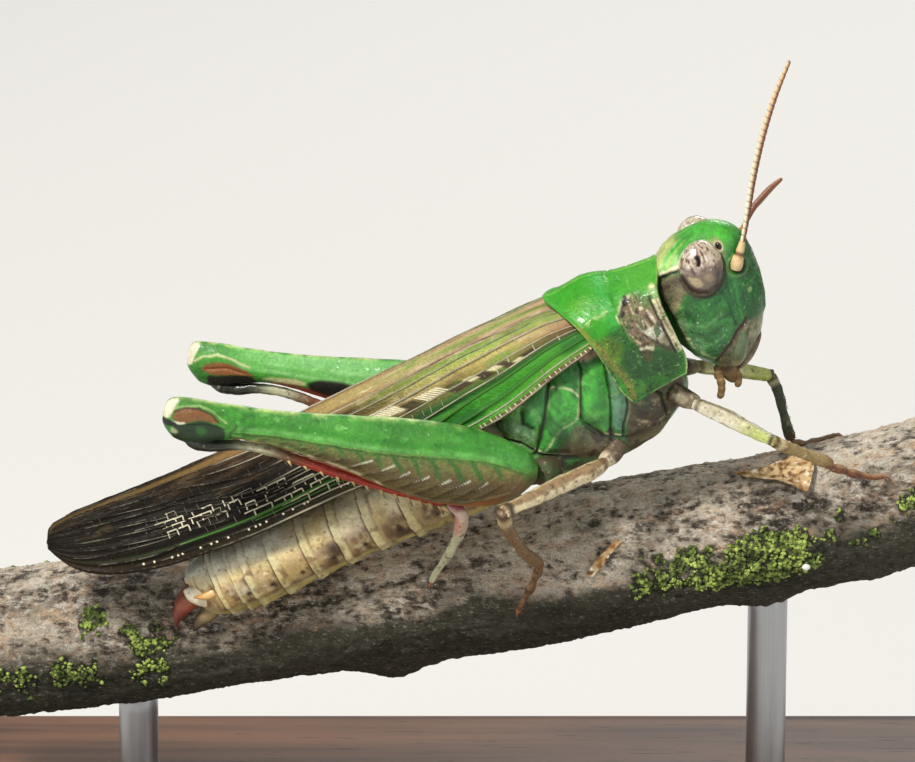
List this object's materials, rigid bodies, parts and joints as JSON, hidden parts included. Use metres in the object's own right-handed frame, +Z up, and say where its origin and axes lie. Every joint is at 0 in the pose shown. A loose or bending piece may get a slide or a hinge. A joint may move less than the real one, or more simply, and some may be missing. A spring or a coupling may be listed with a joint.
{
  "type": "grasshopper display model",
  "caption": "Life-size green grasshopper gripping a short cut length of branch, held on a flat wooden base by plain steel rods.",
  "frame": {"origin": "middle of the base's flat underside", "axes": "+X towards the insect's head along the base's long side, +Y to the insect's left, +Z up"},
  "size_m": [0.05, 0.03, 0.0379],
  "materials": {
    "green_shell": "satin green cuticle, finely pitted",
    "pale_shell": "straw and cream cuticle, satin",
    "dark_shell": "dark brown cuticle, satin",
    "shin_red": "red cuticle with pale and dark bands",
    "wing_tan": "dry veined wing, green, tan and smoky brown",
    "eye_surface": "pinkish tan and brown mottled, smooth",
    "bark": "rough grey-brown bark with moss",
    "base_wood": "dark satin-finished wood",
    "rod_steel": "bright steel rod"
  },
  "bodies": {
    "root": {"abdomen": "pale_shell", "antenna_left": "pale_shell", "antenna_right": "pale_shell", "cercus_left": "pale_shell", "cercus_right": "pale_shell", "coxa_fore_left": "dark_shell", "coxa_fore_right": "dark_shell", "coxa_hind_left": "dark_shell", "coxa_hind_right": "dark_shell", "coxa_mid_left": "dark_shell", "coxa_mid_right": "dark_shell", "eye_left": "eye_surface", "eye_right": "eye_surface", "femur_fore_left": "pale_shell", "femur_fore_right": "pale_shell", "femur_hind_left": "green_shell", "femur_hind_right": "green_shell", "femur_mid_left": "pale_shell", "femur_mid_right": "pale_shell", "head": "green_shell", "hindwing_left": "wing_tan", "hindwing_right": "wing_tan", "labrum": "green_shell", "mandible_left": "green_shell", "mandible_right": "green_shell", "ovipositor_lower": "dark_shell", "ovipositor_upper": "dark_shell", "palp_left": "pale_shell", "palp_right": "pale_shell", "perch": "bark", "pronotum": "green_shell", "stand_base": "base_wood", "stand_rod_1": "rod_steel", "stand_rod_2": "rod_steel", "tarsus_fore_left": "pale_shell", "tarsus_fore_right": "pale_shell", "tarsus_hind_left": "pale_shell", "tarsus_hind_right": "pale_shell", "tarsus_mid_left": "pale_shell", "tarsus_mid_right": "pale_shell", "tegmen_left": "wing_tan", "tegmen_right": "wing_tan", "thorax": "green_shell", "tibia_fore_left": "pale_shell", "tibia_fore_right": "pale_shell", "tibia_hind_left": "shin_red", "tibia_hind_right": "shin_red", "tibia_mid_left": "pale_shell", "tibia_mid_right": "pale_shell"}
  },
  "joints": []
}
